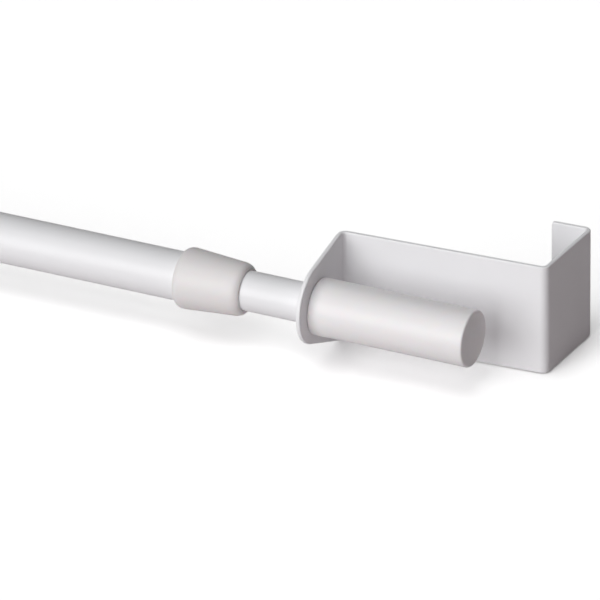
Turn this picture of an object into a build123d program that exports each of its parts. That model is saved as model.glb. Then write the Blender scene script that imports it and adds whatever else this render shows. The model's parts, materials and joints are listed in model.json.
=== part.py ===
"""Telescopic window rod that works by a pull.

A thin inner tube slides in a thick outer tube, an extension spring inside draws the two together,
and a folded steel bracket at each end hooks round the edge of a window sash.

Millimetres. +X runs along the rod, +Y points from the rod to the brackets' plates, +Z is up.
The origin is on the rod's axis, at the middle of the outer tube.
"""

import os
from math import cos, radians, sin

from build123d import *

# Clearances
running_clearance = 0.05
seat_clearance = 0.02
face_clearance = 0.05

# Tubes
outer_tube_radius = 6.0
outer_tube_wall = 0.6
outer_tube_length = 300.0
inner_tube_radius = 4.9
inner_tube_wall = 0.6

# Step sleeve on the outer tube's open end
sleeve_length = 17.1
sleeve_seat_depth = 11.2
sleeve_lip_radius = 6.2
sleeve_shoulder_radius = 7.5
sleeve_shoulder_length = 1.9
sleeve_neck_radius = 6.6
sleeve_nose_length = 2.7
sleeve_nose_drop = 1.35

# End caps
cap_radius = 7.0
cap_length = 40.5
cap_seat_depth = 34.0
cap_edge_round = 0.5
cap_mouth_round = 0.3

# Brackets, each folded from one strip
strip_thickness = 1.1
strip_height = 28.1
hole_play = 0.35
hole_height = 14.8
hole_to_plate = 13.4
ear_radius = 9.95
ear_centre_forward = 0.8
ear_centre_above = 0.7
plate_length = 52.0
plate_angle = 3.3
hook_depth = 24.5
hook_angle = 87.7
flap_length = 10.5
flap_angle = 182.8
bend_radius = 0.9
flap_corner_radius = 0.8
free_gap = 17.8

# Extension spring
slide_travel = 60.0
stretch_per_turn = 1.7
wire_radius = 0.5
coil_radius = 4.2
coil_pitch = 1.15
hook_leg = 2.0
hook_bend_radius = 1.0

# Plugs that hold the spring's two hooks, and their cross pins
pin_radius = 1.0
slot_side_gap = 0.3
cheek_length = 5.0
plug_web = 4.0
slot_end_gap = 0.8
spigot_length = 10.0
pin_end_gap = 0.1
anchor_depth = 11.0

# Sizes that follow from those above
outer_bore_radius = outer_tube_radius - outer_tube_wall
inner_bore_radius = inner_tube_radius - inner_tube_wall
tube_left = -outer_tube_length / 2
tube_right = outer_tube_length / 2
sleeve_left = tube_right - sleeve_seat_depth
sleeve_right = sleeve_left + sleeve_length

right_ear_face = sleeve_right + free_gap + strip_thickness
right_cap_mouth = right_ear_face + face_clearance
left_cap_mouth = tube_left + cap_seat_depth
left_ear_face = left_cap_mouth + face_clearance

spring_turns = round(slide_travel / stretch_per_turn)
coil_length = spring_turns * coil_pitch
pin_to_hook_centre = coil_radius - wire_radius - pin_radius - seat_clearance
pin_to_coil = pin_to_hook_centre + hook_leg + hook_bend_radius
anchor_pin_x = tube_left + anchor_depth
coil_left = anchor_pin_x + pin_to_coil
coil_right = coil_left + coil_length
guide_pin_x = coil_right + pin_to_coil
slot_width = 2 * (hook_bend_radius + wire_radius + slot_side_gap)
slot_depth_past_pin = coil_radius + wire_radius - pin_to_hook_centre + slot_end_gap
plug_length = cheek_length + slot_depth_past_pin + plug_web
inner_tube_left = guide_pin_x + slot_depth_past_pin + plug_web
inner_tube_right = right_cap_mouth + cap_seat_depth


def tube(start, end, radius, bore_radius):
    """A round tube along the rod's axis, from one X to another."""
    with BuildPart() as body:
        with BuildSketch(Plane.YZ.offset(start)):
            Circle(radius)
            Circle(bore_radius, mode=Mode.SUBTRACT)
        extrude(amount=end - start)
    return body.part


def end_cap(mouth, bore_radius):
    """A blind cap whose mouth is at X = mouth and whose closed end points along +X."""
    with BuildPart() as body:
        with BuildSketch(Plane.YZ.offset(mouth)):
            Circle(cap_radius)
        extrude(amount=cap_length)
        rims = body.edges().filter_by(GeomType.CIRCLE).sort_by(Axis.X)
        fillet(rims[-1], cap_edge_round)
        fillet(rims[0], cap_mouth_round)
        with BuildSketch(Plane.YZ.offset(mouth)):
            Circle(bore_radius)
        extrude(amount=cap_seat_depth + seat_clearance, mode=Mode.SUBTRACT)
    return body.part


def along(angle, length):
    """A step of some length at some angle in the plan view."""
    return Vector(length * cos(radians(angle)), length * sin(radians(angle)))


def folded_bracket(ear_face, tube_radius):
    """A bracket for the +X end, whose ear's hole has a tube of the given radius lying in it.

    The line drawn first is the side of the strip that faces the cap: along the ear's root, the
    plate's front, the hook's outer face and the flap's rear. The ear tapers to a round end, whose
    centre is a little above the hole's and further from the plate.
    """
    hole_radius = tube_radius + hole_play
    hole_z = hole_play - running_clearance
    ear_centre = (-ear_centre_forward, hole_z + ear_centre_above)
    strip_bottom = hole_z - hole_height
    strip_middle = strip_bottom + strip_height / 2
    ear_corner = Vector(ear_face, hole_to_plate)
    hook_corner = ear_corner + along(plate_angle, plate_length)
    flap_corner = hook_corner + along(hook_angle, hook_depth)
    flap_tip = flap_corner + along(flap_angle, flap_length)
    outer_bend = bend_radius + strip_thickness
    taper_end = ear_corner.Y - bend_radius
    with BuildPart() as body:
        with BuildSketch(Plane.XY.offset(strip_bottom)):
            with BuildLine():
                FilletPolyline(
                    Vector(ear_face, taper_end - strip_thickness),
                    ear_corner,
                    hook_corner,
                    flap_corner,
                    flap_tip,
                    radius=[bend_radius, outer_bend, outer_bend],
                )
                offset(amount=strip_thickness, side=Side.LEFT, closed=True)
            make_face()
        extrude(amount=strip_height)
        short_edges = body.edges().filter_by(lambda edge: edge.length < 1.01 * strip_thickness)
        fillet(short_edges.sort_by_distance(flap_tip)[:2], flap_corner_radius)
        with BuildSketch(Plane.YZ.offset(ear_face)):
            with Locations(ear_centre):
                Circle(ear_radius)
            with Locations((taper_end, strip_middle)):
                Rectangle(strip_thickness, strip_height, align=(Align.MAX, Align.CENTER))
            make_hull()
            with Locations((0, hole_z)):
                Circle(hole_radius, mode=Mode.SUBTRACT)
        extrude(amount=-strip_thickness)
    return body.part


def forked_plug(pin_x, body_radius, spigot_radius):
    """A plug whose fork opens towards -X round a pin, with a spigot on its +X side."""
    slot_bottom = pin_x + slot_depth_past_pin
    with BuildPart() as body:
        with BuildSketch(Plane.YZ.offset(pin_x - cheek_length)):
            Circle(body_radius)
        extrude(amount=plug_length)
        with BuildSketch(Plane.YZ.offset(pin_x - cheek_length)):
            Rectangle(slot_width, 2 * outer_tube_radius)
        extrude(amount=slot_bottom - pin_x + cheek_length, mode=Mode.SUBTRACT)
        if spigot_radius > 0:
            with BuildSketch(Plane.YZ.offset(slot_bottom + plug_web)):
                Circle(spigot_radius)
            extrude(amount=spigot_length)
        with BuildSketch(Plane.XZ):
            with Locations((pin_x, 0)):
                Circle(pin_radius + seat_clearance)
        extrude(amount=outer_tube_radius, both=True, mode=Mode.SUBTRACT)
    return body.part


def cross_pin(pin_x, half_length):
    """A pin across the rod, along Y."""
    with BuildPart() as body:
        with BuildSketch(Plane.XZ):
            with Locations((pin_x, 0)):
                Circle(pin_radius)
        extrude(amount=half_length, both=True)
    return body.part


os.makedirs("parts", exist_ok=True)

with BuildPart() as outer_tube:
    add(tube(tube_left, tube_right, outer_tube_radius, outer_bore_radius))
    with BuildSketch(Plane.XZ):
        with Locations((anchor_pin_x, 0)):
            Circle(pin_radius + seat_clearance)
    extrude(amount=2 * outer_tube_radius, both=True, mode=Mode.SUBTRACT)
outer_tube.part.label = "outer_tube"
export_step(outer_tube.part, "parts/outer_tube.step")

with BuildPart() as inner_tube:
    add(tube(inner_tube_left, inner_tube_right, inner_tube_radius, inner_bore_radius))
inner_tube.part.label = "inner_tube"
export_step(inner_tube.part, "parts/inner_tube.step")

with BuildPart() as step_sleeve:
    with BuildSketch(Plane.XZ):
        with BuildLine():
            shoulder_x = sleeve_left + sleeve_shoulder_length
            nose_x = sleeve_right - sleeve_nose_length
            seat_radius = outer_tube_radius + seat_clearance
            guide_radius = inner_tube_radius + running_clearance
            stop_x = tube_right + seat_clearance
            nose_end = (sleeve_right, sleeve_neck_radius - sleeve_nose_drop)
            shoulder = EllipticalCenterArc(
                (shoulder_x, sleeve_lip_radius),
                sleeve_shoulder_length,
                sleeve_shoulder_radius - sleeve_lip_radius,
                start_angle=90,
                arc_size=90,
            )
            nose = EllipticalCenterArc(
                (nose_x, sleeve_neck_radius - sleeve_nose_drop),
                sleeve_nose_length,
                sleeve_nose_drop,
                start_angle=0,
                arc_size=90,
            )
            Line((shoulder_x, sleeve_shoulder_radius), (nose_x, sleeve_neck_radius))
            Polyline(
                nose_end,
                (sleeve_right, guide_radius),
                (stop_x, guide_radius),
                (stop_x, seat_radius),
                (sleeve_left, seat_radius),
                (sleeve_left, sleeve_lip_radius),
            )
        make_face()
    revolve(axis=Axis.X)
step_sleeve.part.label = "step_sleeve"
export_step(step_sleeve.part, "parts/step_sleeve.step")

with BuildPart() as right_cap:
    add(end_cap(right_cap_mouth, inner_tube_radius + seat_clearance))
right_cap.part.label = "right_cap"
export_step(right_cap.part, "parts/right_cap.step")

with BuildPart() as left_cap:
    mirror(end_cap(-left_cap_mouth, outer_tube_radius + seat_clearance), about=Plane.YZ)
left_cap.part.label = "left_cap"
export_step(left_cap.part, "parts/left_cap.step")

with BuildPart() as right_bracket:
    add(folded_bracket(right_ear_face, inner_tube_radius))
right_bracket.part.label = "right_bracket"
export_step(right_bracket.part, "parts/right_bracket.step")

with BuildPart() as left_bracket:
    mirror(folded_bracket(-left_ear_face, outer_tube_radius), about=Plane.YZ)
left_bracket.part.label = "left_bracket"
export_step(left_bracket.part, "parts/left_bracket.step")

with BuildPart() as spring_guide:
    add(forked_plug(guide_pin_x, outer_bore_radius - running_clearance, inner_bore_radius - seat_clearance))
spring_guide.part.label = "spring_guide"
export_step(spring_guide.part, "parts/spring_guide.step")

with BuildPart() as guide_pin:
    add(cross_pin(guide_pin_x, outer_bore_radius - running_clearance - pin_end_gap))
guide_pin.part.label = "guide_pin"
export_step(guide_pin.part, "parts/guide_pin.step")

with BuildPart() as spring_anchor:
    mirror(forked_plug(-anchor_pin_x, outer_bore_radius - seat_clearance, 0), about=Plane.YZ)
spring_anchor.part.label = "spring_anchor"
export_step(spring_anchor.part, "parts/spring_anchor.step")

with BuildPart() as anchor_pin:
    add(cross_pin(anchor_pin_x, outer_tube_radius - pin_end_gap))
anchor_pin.part.label = "anchor_pin"
export_step(anchor_pin.part, "parts/anchor_pin.step")

with BuildPart() as spring:
    with BuildLine() as wire:
        coil = Helix(
            pitch=coil_pitch,
            height=coil_length,
            radius=coil_radius,
            center=(coil_left, 0, 0),
            direction=(1, 0, 0),
        )
        for end, outward in ((0, -1), (1, 1)):
            coil_end = coil @ end
            coil_lean = coil % end
            leg_start = coil_end + Vector(-coil_lean.Y, coil_lean.X - 1) * outward * hook_bend_radius
            leg_end = leg_start + Vector(outward * hook_leg, 0)
            hook_far = leg_end + Vector(outward * coil_radius, 0, -coil_radius)
            TangentArc(coil_end, leg_start, tangent=coil_lean * outward)
            Line(leg_start, leg_end)
            ThreePointArc(leg_end, hook_far, leg_end - Vector(0, 0, 2 * coil_radius))
    wire_path = wire.wires()[0]
    with BuildSketch(Plane(origin=wire_path @ 0, z_dir=wire_path % 0)):
        Circle(wire_radius)
    sweep(path=wire_path)
spring.part.label = "spring"
export_step(spring.part, "parts/spring.step")

print(f"closed length {inner_tube_right - tube_left:.1f} mm, spring turns {spring_turns}")
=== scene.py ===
# %% [markdown]
# A white window rod, one piece at a time
#
# The rod is a thin tube that slides in a thicker one. A spring inside pulls the two together, and a
# folded steel bracket at each end hooks round the edge of a window sash. Everything here is white,
# so the finish has to be told by gloss, edge softness and tone alone.
#
# The construction comes in first as a fixed frame.

# %% Load the frame
import json
from math import acos, atan2, cos, pi, radians, sin, tan

import bmesh
import bpy
from mathutils import Matrix, Vector


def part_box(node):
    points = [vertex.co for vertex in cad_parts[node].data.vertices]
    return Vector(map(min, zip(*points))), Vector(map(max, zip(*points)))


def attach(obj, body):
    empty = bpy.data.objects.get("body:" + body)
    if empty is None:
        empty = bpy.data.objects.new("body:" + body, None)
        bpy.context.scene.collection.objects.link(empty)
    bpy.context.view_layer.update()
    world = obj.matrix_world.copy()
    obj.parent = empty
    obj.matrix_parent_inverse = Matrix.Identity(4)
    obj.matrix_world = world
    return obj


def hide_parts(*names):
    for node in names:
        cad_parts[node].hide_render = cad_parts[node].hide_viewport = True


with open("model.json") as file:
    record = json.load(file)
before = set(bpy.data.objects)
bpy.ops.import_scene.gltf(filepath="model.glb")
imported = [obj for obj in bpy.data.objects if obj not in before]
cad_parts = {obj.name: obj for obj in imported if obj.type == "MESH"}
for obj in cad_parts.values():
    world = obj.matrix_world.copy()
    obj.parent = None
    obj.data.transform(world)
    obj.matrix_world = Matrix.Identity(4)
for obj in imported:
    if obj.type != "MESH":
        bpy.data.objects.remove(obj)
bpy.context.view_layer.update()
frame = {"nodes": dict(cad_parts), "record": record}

MM = 0.001
scene = bpy.context.scene

# %% [markdown]
# Colours are written as a designer writes them, as sRGB hex, and Blender's sockets want linear
# light. One function does the change, so that no colour in this file is in doubt.
#
# Each material is a small node tree. One helper adds a node, sets its values and links its inputs,
# which keeps every tree down to a few readable lines. Where a noise drives a roughness, nearly all
# of its values lie between 0.3 and 0.7, and that span is stretched over the roughness wanted.

# %% Colour and node helpers
NOISE_LOW, NOISE_HIGH = 0.3, 0.7


def linear(hex_colour):
    """An sRGB hex colour as linear RGBA."""
    channels = [int(hex_colour[i:i + 2], 16) / 255 for i in (1, 3, 5)]
    return [c / 12.92 if c <= 0.04045 else ((c + 0.055) / 1.055) ** 2.4 for c in channels] + [1.0]


def add_node(tree, kind, values=None, links=None, **settings):
    """A node with its settings, its socket values and the sockets that feed it."""
    node = tree.nodes.new(kind)
    for name, value in settings.items():
        setattr(node, name, value)
    for socket, value in (values or {}).items():
        node.inputs[socket].default_value = value
    for socket, source in (links or {}).items():
        tree.links.new(source, node.inputs[socket])
    return node


def new_material(name, values):
    """An empty material with one Principled shader, its output and Object coordinates."""
    material = bpy.data.materials.new(name)
    material.use_nodes = True
    tree = material.node_tree
    tree.nodes.clear()
    shader = add_node(tree, "ShaderNodeBsdfPrincipled", values)
    add_node(tree, "ShaderNodeOutputMaterial", links={"Surface": shader.outputs["BSDF"]})
    coords = add_node(tree, "ShaderNodeTexCoord")
    return material, tree, shader, coords.outputs["Object"]


# %% [markdown]
# Powder coat on the brackets
#
# The folded strip is sprayed with polyester powder and baked. The powder melts into a skin about
# 0.1 mm thick that rounds every sheared edge and keeps a faint orange peel, with lumps a millimetre
# or so across. A noise of that size drives a very shallow bump, and a second, broader noise moves
# the roughness a little, as the gloss of baked powder is never quite even.

# %% Powder coat
PEEL_SIZE = 1.3 * MM
PEEL_HEIGHT = 0.006 * MM
GLOSS_PATCH = 14 * MM
COAT_SMOOTHEST, COAT_ROUGHEST = 0.36, 0.44


def powder_coat():
    material, tree, shader, coords = new_material(
        "white_powder_coat",
        {"Base Color": linear("#F5F5F7"), "IOR": 1.5},
    )
    peel = add_node(
        tree, "ShaderNodeTexNoise", {"Scale": 1 / PEEL_SIZE, "Detail": 2.0, "Roughness": 0.45},
        {"Vector": coords},
    )
    bump = add_node(
        tree, "ShaderNodeBump", {"Strength": 1.0, "Distance": PEEL_HEIGHT},
        {"Height": peel.outputs["Fac"]},
    )
    patches = add_node(
        tree, "ShaderNodeTexNoise", {"Scale": 1 / GLOSS_PATCH, "Detail": 1.0}, {"Vector": coords}
    )
    gloss = add_node(
        tree, "ShaderNodeMapRange",
        {
            "From Min": NOISE_LOW, "From Max": NOISE_HIGH,
            "To Min": COAT_SMOOTHEST, "To Max": COAT_ROUGHEST,
        },
        {"Value": patches.outputs["Fac"]},
    )
    tree.links.new(bump.outputs["Normal"], shader.inputs["Normal"])
    tree.links.new(gloss.outputs["Result"], shader.inputs["Roughness"])
    return material


# %% [markdown]
# Enamel on the tubes
#
# The tubes are rolled from thin steel and enamelled before they are cut. Enamel flows out smoother
# than powder, so the bump is finer, and it is stretched along the tube, where rolling leaves faint
# draw lines. They are about 0.4 mm apart on the real tube, which is drawn here as 0.9 mm so that
# it can show in the picture at all.

# %% Tube enamel
DRAW_LINE_GAP = 0.9 * MM
DRAW_LINE_LENGTH = 60 * MM
DRAW_LINE_HEIGHT = 0.003 * MM


def tube_enamel():
    material, tree, shader, coords = new_material(
        "white_tube_enamel",
        {"Base Color": linear("#F0F0F2"), "Roughness": 0.34, "IOR": 1.5},
    )
    stretched = add_node(
        tree, "ShaderNodeMapping",
        {"Scale": (1 / DRAW_LINE_LENGTH, 1 / DRAW_LINE_GAP, 1 / DRAW_LINE_GAP)},
        {"Vector": coords},
    )
    lines = add_node(
        tree, "ShaderNodeTexNoise", {"Scale": 1.0, "Detail": 2.0},
        {"Vector": stretched.outputs["Vector"]},
    )
    bump = add_node(
        tree, "ShaderNodeBump", {"Strength": 1.0, "Distance": DRAW_LINE_HEIGHT},
        {"Height": lines.outputs["Fac"]},
    )
    tree.links.new(bump.outputs["Normal"], shader.inputs["Normal"])
    return material


# %% [markdown]
# Moulded plastic on the sleeve and caps
#
# The step sleeve and the end caps are injection moulded. The mould is spark eroded to a fine
# texture, so the gloss is softer than the tube's, and a little light goes into the plastic before it
# comes back. The white is a shade warmer than the paint's. The erosion's grain is about 0.15 mm and
# is drawn as 0.4 mm.

# %% Moulded plastic
EROSION_GRAIN = 0.4 * MM
EROSION_HEIGHT = 0.004 * MM


def moulded_plastic(name, colour, roughness):
    material, tree, shader, coords = new_material(
        name,
        {
            "Base Color": linear(colour), "Roughness": roughness, "IOR": 1.49,
            "Subsurface Weight": 0.12, "Subsurface Scale": 1.2 * MM,
        },
    )
    grain = add_node(
        tree, "ShaderNodeTexNoise", {"Scale": 1 / EROSION_GRAIN, "Detail": 1.5}, {"Vector": coords}
    )
    bump = add_node(
        tree, "ShaderNodeBump", {"Strength": 1.0, "Distance": EROSION_HEIGHT},
        {"Height": grain.outputs["Fac"]},
    )
    tree.links.new(bump.outputs["Normal"], shader.inputs["Normal"])
    return material


# %% [markdown]
# Steel inside
#
# The spring is drawn wire and its cross pins are turned, so both are bare bright steel. Drawing
# and turning leave marks that are far finer than the picture can show, and a slow change of
# roughness stands for them.

# %% Bare steel
MARK_SIZE = 0.8 * MM


def bare_steel(name, colour, smoothest, roughest):
    material, tree, shader, coords = new_material(
        name, {"Base Color": linear(colour), "Metallic": 1.0}
    )
    marks = add_node(
        tree, "ShaderNodeTexNoise", {"Scale": 1 / MARK_SIZE, "Detail": 2.0}, {"Vector": coords}
    )
    spread = add_node(
        tree, "ShaderNodeMapRange",
        {
            "From Min": NOISE_LOW, "From Max": NOISE_HIGH,
            "To Min": smoothest, "To Max": roughest,
        },
        {"Value": marks.outputs["Fac"]},
    )
    tree.links.new(spread.outputs["Result"], shader.inputs["Roughness"])
    return material


# %% [markdown]
# The finishes, one by one
#
# A finish belongs to a process, not to a piece: both brackets come out of the same powder booth and
# both tubes off the same enamel line, so each material is made once and shared. The sleeve is
# moulded in a duller and slightly darker white than the caps, and the plugs inside, which nobody
# sees, are left in the plastic's natural colour. The whites are all a little under full white, as
# real paint is, so that their lit sides don't burn out.

# %% Make each finish once
coat = powder_coat()
enamel = tube_enamel()
sleeve_plastic = moulded_plastic("warm_white_moulded_plastic", "#E9E6E6", 0.45)
cap_plastic = moulded_plastic("white_moulded_plastic", "#F0EEEF", 0.36)
plug_plastic = moulded_plastic("natural_moulded_plastic", "#DAD8CC", 0.5)
wire_steel = bare_steel("drawn_spring_wire", "#8C8C8E", 0.25, 0.4)
pin_steel = bare_steel("turned_pin_steel", "#A9A9AB", 0.18, 0.3)
made = (coat, enamel, sleeve_plastic, cap_plastic, plug_plastic, wire_steel, pin_steel)
print("finishes:", [material.name for material in made])

# %% [markdown]
# From a mesh in the making to a piece on its body
#
# Every new piece ends the same way: its shading is smoothed with the flats kept flat, it takes its
# finish, rides on the body that carries it and stands for one node of the construction. The
# Weighted Normal modifier is what keeps a flat face flat beside a rounded edge: at its full weight
# the largest face at a corner decides.

# %% Finish a piece
FULL_WEIGHT = 100


def finish_piece(bm, name, node, material):
    """The bmesh as an object at the origin that stands for a node of the frame."""
    mesh = bpy.data.meshes.new(name)
    bm.to_mesh(mesh)
    bm.free()
    mesh.shade_smooth()
    piece = bpy.data.objects.new(name, mesh)
    scene.collection.objects.link(piece)
    flats = piece.modifiers.new("flat_faces", "WEIGHTED_NORMAL")
    flats.mode = "FACE_AREA"
    flats.weight = FULL_WEIGHT
    mesh.materials.append(material)
    body = next(b for b, nodes in frame["record"]["behaviour"]["bodies"].items() if node in nodes)
    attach(piece, body)
    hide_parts(node)
    print(name, "faces:", len(mesh.polygons), "on", body)


# %% [markdown]
# Round parts are turned
#
# Tubes, sleeve and caps are all solids of revolution about the rod's axis, which is X. A lathe
# section of a few points is spun about that axis. The sharp corners that the section leaves are rings
# of edges, and a small bevel rounds each ring as a tool or a mould would.

# %% Turn a section about the rod
TURN_STEPS = 128
ROUND_STEPS = 5
QUARTER_STEPS = 12
SAME_PLACE = 1e-6


def turned(section, rounds=()):
    """Spins a closed section of (x, radius) points about X. rounds holds (corner number, radius)."""
    bm = bmesh.new()
    points = [bm.verts.new((x, 0, radius)) for x, radius in section]
    loop = [bm.edges.new(pair) for pair in zip(points, points[1:] + points[:1])]
    bmesh.ops.spin(
        bm, geom=points + loop, cent=(0, 0, 0), axis=(1, 0, 0), dvec=(0, 0, 0),
        angle=2 * pi, steps=TURN_STEPS, use_merge=True,
    )
    bmesh.ops.remove_doubles(bm, verts=bm.verts, dist=SAME_PLACE)
    bmesh.ops.dissolve_degenerate(bm, edges=bm.edges, dist=SAME_PLACE)
    bmesh.ops.recalc_face_normals(bm, faces=bm.faces)
    for corner, size in rounds:
        x, radius = section[corner]
        ring = [e for e in bm.edges if all(on_ring(v, x, radius) for v in e.verts)]
        bmesh.ops.bevel(
            bm, geom=ring, offset=size, offset_type="OFFSET", affect="EDGES",
            segments=ROUND_STEPS, profile=0.5, material=-1,
        )
    return bm


def on_ring(vert, x, radius):
    """Whether a vertex lies on the ring of that radius at that x."""
    return abs(vert.co.x - x) < SAME_PLACE and abs(vert.co.yz.length - radius) < SAME_PLACE


def quarter(centre_x, centre_radius, width, height, start):
    """Points of a quarter ellipse in the section, from an angle in degrees, going clockwise."""
    angles = [radians(start - 90 * i / QUARTER_STEPS) for i in range(QUARTER_STEPS + 1)]
    return [(centre_x + width * cos(a), centre_radius + height * sin(a)) for a in angles]


# %% [markdown]
# A hole across the thick tube
#
# Near its left end the thick tube is drilled right across, for the pin that holds the spring's
# anchor. A hole in a curved wall is the one cut here that no spin or extrusion gives, so it is made
# with a Boolean: the tube and a drill are put into the scene as two objects for a moment, and
# the mesh that the modifier makes of them is taken back into a bmesh. Removing the two meshes then
# removes their objects too.

# %% Drill a cross hole
PIN_PLAY = 0.02 * MM
DRILL_STEPS = 48


def drilled(bm, pin_node):
    """The mesh with a hole along Y for a cross pin, as a new bmesh.

    The drill is turned by half a step, so that none of its corners meets an edge of the tube.
    """
    low, high = (Vector(corner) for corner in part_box(pin_node))
    radius = (high.x - low.x) / 2 + PIN_PLAY
    drill = bmesh.new()
    bmesh.ops.create_cone(
        drill, cap_ends=True, segments=DRILL_STEPS, radius1=radius, radius2=radius,
        depth=2 * (high.y - low.y), matrix=Matrix.Rotation(pi / DRILL_STEPS, 4, "Z"),
    )
    along_y = Matrix.Rotation(pi / 2, 3, "X")
    bmesh.ops.rotate(drill, verts=drill.verts, cent=(0, 0, 0), matrix=along_y)
    bmesh.ops.translate(drill, verts=drill.verts, vec=(low + high) / 2)
    blank, cutter = (bpy.data.objects.new(n, bpy.data.meshes.new(n)) for n in ("blank", "cutter"))
    for holder, shape in ((blank, bm), (cutter, drill)):
        shape.to_mesh(holder.data)
        shape.free()
        scene.collection.objects.link(holder)
    hole = blank.modifiers.new("hole", "BOOLEAN")
    hole.operation = "DIFFERENCE"
    hole.solver = "EXACT"
    hole.object = cutter
    cut = blank.evaluated_get(bpy.context.evaluated_depsgraph_get()).to_mesh()
    result = bmesh.new()
    result.from_mesh(cut)
    for holder in (blank, cutter):
        bpy.data.meshes.remove(holder.data)
    print("hole for", pin_node, round(2 * radius / MM, 2), "mm wide, mesh closed:",
          all(e.is_manifold for e in result.edges))
    return result


# %% [markdown]
# The two tubes
#
# Each is a plain ring section drawn out to its length. Sizes are read from the frame, so a tube is
# exactly as long and as wide as the construction says. The saw leaves a slightly broken edge.
#
# A Boolean leaves long, many-sided faces wherever it cuts, and they would shade badly on a round
# wall. So the thick tube's section gets a ring on either side of its hole, which keeps them within
# a few millimetres, and the end cap hides that stretch.

# %% Tubes
TUBE_WALL = 0.6 * MM
SAW_EDGE = 0.15 * MM
RING_BESIDE_HOLE = 3 * MM


def tube_piece(name, node, pin_node=None):
    low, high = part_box(node)
    radius = (high[1] - low[1]) / 2
    stations = [low[0], high[0]]
    if pin_node:
        pin_low, pin_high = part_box(pin_node)
        stations[1:1] = [pin_low[0] - RING_BESIDE_HOLE, pin_high[0] + RING_BESIDE_HOLE]
    outside = [(x, radius) for x in stations]
    inside = [(x, radius - TUBE_WALL) for x in reversed(stations)]
    bm = turned(outside + inside, [(0, SAW_EDGE), (len(stations) - 1, SAW_EDGE)])
    if pin_node:
        bm = drilled(bm, pin_node)
    finish_piece(bm, name, node, enamel)


tube_piece("enamelled_outer_tube", "outer_tube", "anchor_pin")
tube_piece("enamelled_inner_tube", "inner_tube")

# %% [markdown]
# The step sleeve
#
# One moulding hides the raw end of the thick tube and guides the thin one. It swells in a rounded
# shoulder, tapers for most of its length and then rolls over in a soft nose down to the thin tube.
# Two quarter ellipses and the straight taper between them give that outline.

# %% Step sleeve
SHOULDER_LENGTH = 1.9 * MM
SHOULDER_LIP = 6.2 * MM
NECK_RADIUS = 6.6 * MM
NOSE_LENGTH = 2.7 * MM
NOSE_DROP = 1.35 * MM
TUBE_SEAT = 11.2 * MM
SEAT_RADIUS = 6.02 * MM
GUIDE_RADIUS = 4.95 * MM
LIP_ROUND = 0.08 * MM


def sleeve_piece():
    low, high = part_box("step_sleeve")
    shoulder_radius = (high[1] - low[1]) / 2
    swell = shoulder_radius - SHOULDER_LIP
    seat_end = low[0] + TUBE_SEAT
    section = [(low[0], SEAT_RADIUS)]
    section += quarter(low[0] + SHOULDER_LENGTH, SHOULDER_LIP, SHOULDER_LENGTH, swell, 180)
    section += quarter(high[0] - NOSE_LENGTH, NECK_RADIUS - NOSE_DROP, NOSE_LENGTH, NOSE_DROP, 90)
    lip_corner = len(section)
    section += [(high[0], GUIDE_RADIUS), (seat_end, GUIDE_RADIUS), (seat_end, SEAT_RADIUS)]
    bm = turned(section, [(lip_corner, LIP_ROUND)])
    finish_piece(bm, "moulded_step_sleeve", "step_sleeve", sleeve_plastic)


sleeve_piece()

# %% [markdown]
# The end caps
#
# A cap is a long blind moulding, wider than the hole in the bracket's ear, and its mouth is the
# shoulder that pulls the ear along. Its closed end is flat with a small round at the rim.

# %% End caps
CAP_SEAT = 34.0 * MM
CAP_RIM_ROUND = 0.5 * MM
CAP_MOUTH_ROUND = 0.3 * MM
SEAT_CLEARANCE = 0.02 * MM


def cap_piece(name, node, tube_node, mouth_side):
    """mouth_side is 0 if the mouth is at the low X end of the cap, and 1 if it is at the high end."""
    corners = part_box(node)
    mouth, closed = corners[mouth_side][0], corners[1 - mouth_side][0]
    radius = (corners[1][1] - corners[0][1]) / 2
    tube_low, tube_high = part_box(tube_node)
    bore = (tube_high[1] - tube_low[1]) / 2 + SEAT_CLEARANCE
    bottom = mouth + (CAP_SEAT + SEAT_CLEARANCE) * (1 if closed > mouth else -1)
    inside = [(bottom, 0), (bottom, bore), (mouth, bore)]
    outside = [(mouth, radius), (closed, radius), (closed, 0)]
    mouth_corner, rim_corner = 3, 4
    bm = turned(
        inside + outside, [(mouth_corner, CAP_MOUTH_ROUND), (rim_corner, CAP_RIM_ROUND)]
    )
    finish_piece(bm, name, node, cap_plastic)


cap_piece("moulded_right_cap", "right_cap", "inner_tube", 0)
cap_piece("moulded_left_cap", "left_cap", "outer_tube", 1)

# %% [markdown]
# The brackets, folded as the press folds them
#
# The blank starts as a flat tongue with a round hole. From the tongue's straight root the strip is
# drawn on leg by leg: each bend is a spin about an upright line and each leg is an extrusion,
# so the mesh is folded in the same order as the steel. The sheet is then given its
# thickness, and all sheared edges are rounded by the coat.

# %% Bracket sizes
STRIP = 1.1 * MM
HOLE_PLAY = 0.35 * MM
HOLE_HEIGHT = 14.8 * MM
HOLE_TO_PLATE = 13.4 * MM
EAR_RADIUS = 9.95 * MM
EAR_CENTRE_ABOVE = 0.7 * MM
BEND_RADIUS = 0.9 * MM
PLATE = (3.3, 52.0 * MM)
HOOK = (87.7, 24.5 * MM)
FLAP = (182.8, 10.5 * MM)
FLAP_CORNER = 0.8 * MM
COATED_EDGE = 0.32 * MM

root_y = HOLE_TO_PLATE - BEND_RADIUS - STRIP
print("plate, hook and flap turn to", PLATE[0], HOOK[0], FLAP[0], "degrees in plan")

# %% [markdown]
# The ear
#
# The ear is the rounded end of the blank, with the tube's hole in it. Its round end isn't centred on
# the hole, so there is more steel at the back, where the fold begins. Two straight flanks run from
# the strip's corners and touch the round end. They could be drawn by eye, but the angle at which a
# line from a point touches a circle is one arc cosine, and then the outline stays right when a size
# is changed.

# %% Cut the ear
EAR_STEPS = 56
HOLE_STEPS = 72


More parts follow.
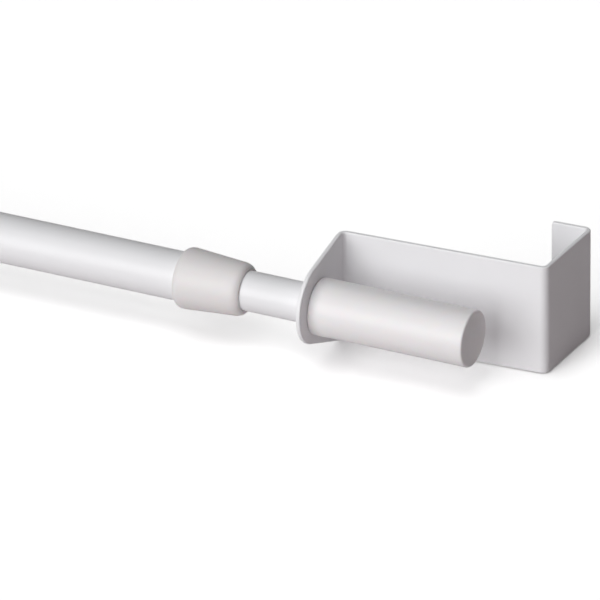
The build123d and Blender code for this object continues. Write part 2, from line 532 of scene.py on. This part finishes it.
def ear_blank(bm, centre, hole, hole_radius, bottom, top):
    """The flat ear with its hole, in the plane x = 0. Returns its root edge."""
    upper, lower = Vector((0, root_y, top)), Vector((0, root_y, bottom))
    angles = []
    for corner, side in ((upper, 1), (lower, -1)):
        arm = corner - centre
        angles.append(atan2(arm.z, arm.y) + side * acos(EAR_RADIUS / arm.length))
    start = bm.verts.new(centre + EAR_RADIUS * Vector((0, cos(angles[0]), sin(angles[0]))))
    swept = bmesh.ops.spin(
        bm, geom=[start], cent=centre, axis=(1, 0, 0), dvec=(0, 0, 0),
        angle=(angles[1] - angles[0]) % (2 * pi), steps=EAR_STEPS,
    )
    end = next(g for g in swept["geom_last"] if isinstance(g, bmesh.types.BMVert))
    corners = [bm.verts.new(lower), bm.verts.new(upper)]
    bm.edges.new((end, corners[0]))
    root = bm.edges.new(corners)
    bm.edges.new((corners[1], start))
    at_hole = Matrix.Translation(hole) @ Matrix.Rotation(pi / 2, 4, "Y")
    bmesh.ops.create_circle(
        bm, cap_ends=False, radius=hole_radius, segments=HOLE_STEPS, matrix=at_hole
    )
    bmesh.ops.triangle_fill(bm, use_beauty=True, use_dissolve=False, edges=bm.edges[:])
    return root


# %% [markdown]
# The folds
#
# A press folds the strip over a bar, one bend at a time, and the mesh is made the same way. The
# upright edge where the strip has got to is extruded along its heading, up to where the next bend
# begins. A spin about an upright line then turns it to its new heading. A sheet modelled as flat
# faces with its corners bevelled afterwards would look much the same, but here every bend keeps the
# radius of its bar: the first one has its outside where the other two have their inside, so the
# strip's thickness is added to theirs.

# %% Fold the strip
BEND_STEPS = 12


def fold(bm, root):
    """Draws the strip on from the ear's root through its three bends. Returns the last edge."""
    heading, place, edge = 90.0, Vector((0, root_y)), root
    corner = Vector((0, HOLE_TO_PLATE))
    legs = [(PLATE, BEND_RADIUS), (HOOK, BEND_RADIUS + STRIP), (FLAP, BEND_RADIUS + STRIP)]
    for (angle, length), radius in legs:
        turn = radians(angle - heading)
        setback = radius * tan(abs(turn) / 2)
        ahead = Vector((cos(radians(heading)), sin(radians(heading))))
        bend_start = corner - ahead * setback
        edge = draw_on(bm, edge, bend_start - place)
        side = Vector((-ahead.y, ahead.x)) * (1 if turn > 0 else -1)
        middle = bend_start + side * radius
        spun = bmesh.ops.spin(
            bm, geom=[edge, *edge.verts], cent=(*middle, 0), axis=(0, 0, 1), dvec=(0, 0, 0),
            angle=turn, steps=BEND_STEPS,
        )
        edge = next(g for g in spun["geom_last"] if isinstance(g, bmesh.types.BMEdge))
        heading = angle
        ahead = Vector((cos(radians(heading)), sin(radians(heading))))
        place = corner + ahead * setback
        corner = corner + ahead * length
    return draw_on(bm, edge, corner - place)


def draw_on(bm, edge, step):
    """Extrudes an upright edge by a step in plan, and returns the new upright edge."""
    made = bmesh.ops.extrude_edge_only(bm, edges=[edge])["geom"]
    verts = [g for g in made if isinstance(g, bmesh.types.BMVert)]
    bmesh.ops.translate(bm, verts=verts, vec=(*step, 0))
    return next(g for g in made if isinstance(g, bmesh.types.BMEdge) and set(g.verts) == set(verts))


# %% [markdown]
# Thickness, then the coat's edge
#
# The folded sheet is still without thickness. Solidify gives it the strip's, on one side only, so
# the face that was drawn stays where it is. Then every sheared edge is rounded: powder coat draws
# back from sharp corners as it melts, so an edge of painted sheet is soft all along, and that soft
# edge is what catches the light in the photo. The left bracket is the mirror image of the right one,
# and its faces are turned over again after the mirroring.

# %% Make both brackets
FLAP_CORNER_STEPS = 6
COATED_EDGE_STEPS = 5
SHARP = radians(60)


def bracket_piece(name, node, tube_node, mirrored):
    low, high = (Vector(c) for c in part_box(node))
    tube_low, tube_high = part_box(tube_node)
    hole_radius = (tube_high[1] - tube_low[1]) / 2 + HOLE_PLAY
    hole = Vector((0, 0, low.z + HOLE_HEIGHT))
    centre = Vector((0, low.y + EAR_RADIUS, hole.z + EAR_CENTRE_ABOVE))
    bm = bmesh.new()
    root = ear_blank(bm, centre, hole, hole_radius, low.z, high.z)
    tip = fold(bm, root)
    bmesh.ops.bevel(
        bm, geom=list(tip.verts), offset=FLAP_CORNER, affect="VERTICES",
        segments=FLAP_CORNER_STEPS, profile=0.5, material=-1,
    )
    bmesh.ops.recalc_face_normals(bm, faces=bm.faces)
    ear = min(bm.faces, key=lambda f: f.calc_center_median().x)
    if ear.normal.x < 0:
        bmesh.ops.reverse_faces(bm, faces=bm.faces)
    bmesh.ops.solidify(bm, geom=bm.faces[:], thickness=STRIP)
    sheared = [e for e in bm.edges if len(e.link_faces) == 2 and e.calc_face_angle() > SHARP]
    bmesh.ops.bevel(
        bm, geom=sheared, offset=COATED_EDGE, offset_type="OFFSET", affect="EDGES",
        segments=COATED_EDGE_STEPS, profile=0.5, material=-1,
    )
    ear_face = high.x - STRIP if mirrored else low.x + STRIP
    bmesh.ops.scale(bm, verts=bm.verts, vec=(-1 if mirrored else 1, 1, 1))
    if mirrored:
        bmesh.ops.reverse_faces(bm, faces=bm.faces)
    bmesh.ops.translate(bm, verts=bm.verts, vec=(ear_face, 0, 0))
    finish_piece(bm, name, node, coat)


bracket_piece("coated_right_bracket", "right_bracket", "inner_tube", False)
bracket_piece("coated_left_bracket", "left_bracket", "outer_tube", True)

# %% [markdown]
# What stays inside
#
# The spring, its plugs and their pins are hidden in the tubes, and the construction already holds
# their true shapes. They keep their own meshes and only take a finish.

# %% Dress the inner pieces
inner_finishes = {
    "spring": wire_steel, "spring_guide": plug_plastic, "spring_anchor": plug_plastic,
    "guide_pin": pin_steel, "anchor_pin": pin_steel,
}
for node, material in inner_finishes.items():
    for slot in frame["nodes"][node].material_slots:
        slot.material = material
    print(node, "is", material.name)

# %% [markdown]
# The floor's paint
#
# The floor is white to the camera and still takes the object's shadow: camera rays see a white
# diffuse surface with a glow added. All other rays see plain pale paint, so the light that
# the floor throws back at the object is no stronger than a real studio table's.
#
# The glow alone would wash out the shade in the narrow corner where a bracket meets the floor. So it
# is multiplied by ambient occlusion, which measures how much of the nearest millimetres of air is
# free, and so paints a shade onto the floor beside the brackets and under the rod.

# %% Floor paint
FLOOR_GLOW = 0.47
PAINTED_SHADE_REACH = 11 * MM
OCCLUSION_RAYS = 16


def floor_paint():
    material = bpy.data.materials.new("studio_floor_paint")
    material.use_nodes = True
    tree = material.node_tree
    tree.nodes.clear()
    paint = add_node(tree, "ShaderNodeBsdfDiffuse", {"Color": linear("#DFDADB")})
    bright = add_node(tree, "ShaderNodeBsdfDiffuse", {"Color": linear("#FFFFFF")})
    # Ambient occlusion dims the glow near the rod and brackets, which paints shade on the floor
    # there.
    near = add_node(
        tree, "ShaderNodeAmbientOcclusion", {"Distance": PAINTED_SHADE_REACH}, samples=OCCLUSION_RAYS
    )
    painted_shade_glow = add_node(
        tree, "ShaderNodeMath", {1: FLOOR_GLOW}, {0: near.outputs["AO"]}, operation="MULTIPLY"
    )
    glow = add_node(
        tree, "ShaderNodeEmission", {"Color": linear("#FFFFFF")},
        {"Strength": painted_shade_glow.outputs["Value"]},
    )
    lifted = add_node(tree, "ShaderNodeAddShader")
    tree.links.new(bright.outputs["BSDF"], lifted.inputs[0])
    tree.links.new(glow.outputs["Emission"], lifted.inputs[1])
    path = add_node(tree, "ShaderNodeLightPath")
    seen = add_node(tree, "ShaderNodeMixShader", links={0: path.outputs["Is Camera Ray"]})
    tree.links.new(paint.outputs["BSDF"], seen.inputs[1])
    tree.links.new(lifted.outputs["Shader"], seen.inputs[2])
    add_node(tree, "ShaderNodeOutputMaterial", links={"Surface": seen.outputs["Shader"]})
    return material


# %% [markdown]
# The floor itself
#
# The rod stands on its brackets' lower edges, so the floor is laid at their height, with a gap of
# 0.4 mm left free. Real shade in that gap and the glow's painted shade together show as the dark
# line of contact. The floor is one square face, far wider than the rod, so that its edges stay out
# of the picture.

# %% Floor
FLOOR_SIZE = 40.0
FLOOR_GAP = 0.4 * MM


def floor_piece():
    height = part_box("right_bracket")[0][2] - FLOOR_GAP
    bm = bmesh.new()
    bmesh.ops.create_grid(bm, x_segments=1, y_segments=1, size=FLOOR_SIZE / 2)
    bmesh.ops.translate(bm, verts=bm.verts, vec=(0, 0, height))
    mesh = bpy.data.meshes.new("studio_floor")
    bm.to_mesh(mesh)
    bm.free()
    piece = bpy.data.objects.new("studio_floor", mesh)
    scene.collection.objects.link(piece)
    mesh.materials.append(floor_paint())
    print("floor at", round(height / MM, 2), "mm")


floor_piece()

# %% [markdown]
# Light
#
# White things on white want one broad light that is low and in front, so that the tops of the tubes
# fall away into grey and hold their edge against the background. The end faces, which look to the
# right, get almost nothing of it and turn dark, with a touch of warmth from a weak lamp beside
# them. A smaller light high in front lays the shadow close to the rod, and two weak ones keep the
# tops and the far sides from going flat. A low lamp behind keeps the rod's back from going dark
# for whoever walks round it. In the photo's view its reflection would be a bright line along the
# top of each tube, which the photo doesn't have, so this lamp is left out of all reflections.
#
# Each lamp is placed by the direction it shines from: degrees to the right of straight in front,
# then degrees above the floor.

# %% Lamps
LAMP_DISTANCE = 6.0
AIM = Vector((0.15, 0.0, 0.0))


def softbox(name, azimuth, elevation, size, watts, colour="#FFFFFF"):
    light = bpy.data.lights.new(name, "AREA")
    light.shape = "SQUARE"
    light.size = size
    light.energy = watts
    light.color = linear(colour)[:3]
    holder = bpy.data.objects.new(name, light)
    scene.collection.objects.link(holder)
    across, above = radians(azimuth), radians(elevation)
    away = Vector((sin(across) * cos(above), -cos(across) * cos(above), sin(above)))
    holder.location = AIM + away * LAMP_DISTANCE
    holder.rotation_euler = away.to_track_quat("Z", "Y").to_euler()
    holder.visible_camera = False
    return holder


softbox("front_softbox", -15, 21, 4.7, 262)
softbox("high_softbox", 0, 64, 2.8, 90)
softbox("left_softbox", -55, 55, 2.5, 22)
softbox("back_softbox", 180, 50, 2.5, 28)
softbox("right_softbox", 80, 12, 2.5, 6, "#FFBCCB")
rear = softbox("rear_softbox", -165, 10, 3.0, 70)
rear.visible_glossy = False

# %% [markdown]
# The world
#
# A white sky would light the object from everywhere and flatten it. So the sky is white only to the
# camera, where nothing but the edge of the floor could show it, and black to every other ray.

# %% World
world = bpy.data.worlds.new("studio")
scene.world = world
world.use_nodes = True
sky = world.node_tree
sky.nodes.clear()
path = add_node(sky, "ShaderNodeLightPath")
white = add_node(
    sky, "ShaderNodeBackground", {"Color": linear("#FFFFFF")},
    {"Strength": path.outputs["Is Camera Ray"]},
)
add_node(sky, "ShaderNodeOutputWorld", links={"Surface": white.outputs["Background"]})
print("world nodes:", len(sky.nodes))

# %% [markdown]
# The camera
#
# The photograph was taken from the right and above, through a long lens that keeps the rod's edges
# nearly parallel. The angles, the distance and the lens were fitted to the edges of the tubes and
# the bracket. The point at the centre of the picture lies just behind the ear.

# %% Camera
AZIMUTH, ELEVATION, ROLL = radians(26.111), radians(26.872), radians(-0.361)
DISTANCE = 3.3487
ASIDE, ABOVE = -4.081 * MM, 1.283 * MM
FOCAL_PIXELS = 14091.7
PICTURE_PIXELS = 600
SENSOR = 36.0
FITTED_EAR_X = 0.575 * MM

back = Vector((sin(AZIMUTH) * cos(ELEVATION), -cos(AZIMUTH) * cos(ELEVATION), sin(ELEVATION)))
level_right = Vector((cos(AZIMUTH), sin(AZIMUTH), 0))
level_up = back.cross(level_right)
right = level_right * cos(ROLL) + level_up * sin(ROLL)
up = level_up * cos(ROLL) - level_right * sin(ROLL)

camera_data = bpy.data.cameras.new("photo_camera")
camera_data.sensor_width = SENSOR
camera_data.lens = FOCAL_PIXELS * SENSOR / PICTURE_PIXELS
camera_data.clip_start = 0.1
camera_data.clip_end = 50.0
camera = bpy.data.objects.new("photo_camera", camera_data)
scene.collection.objects.link(camera)
ear_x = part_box("right_bracket")[0][0] + STRIP
at_ear = Vector((ear_x - FITTED_EAR_X, 0, 0))
camera.location = at_ear + back * DISTANCE + right * ASIDE + up * ABOVE
camera.rotation_euler = Matrix((right, up, back)).transposed().to_euler()
scene.camera = camera
scene.view_settings.view_transform = "Standard"
print("lens", round(camera_data.lens, 1), "mm")
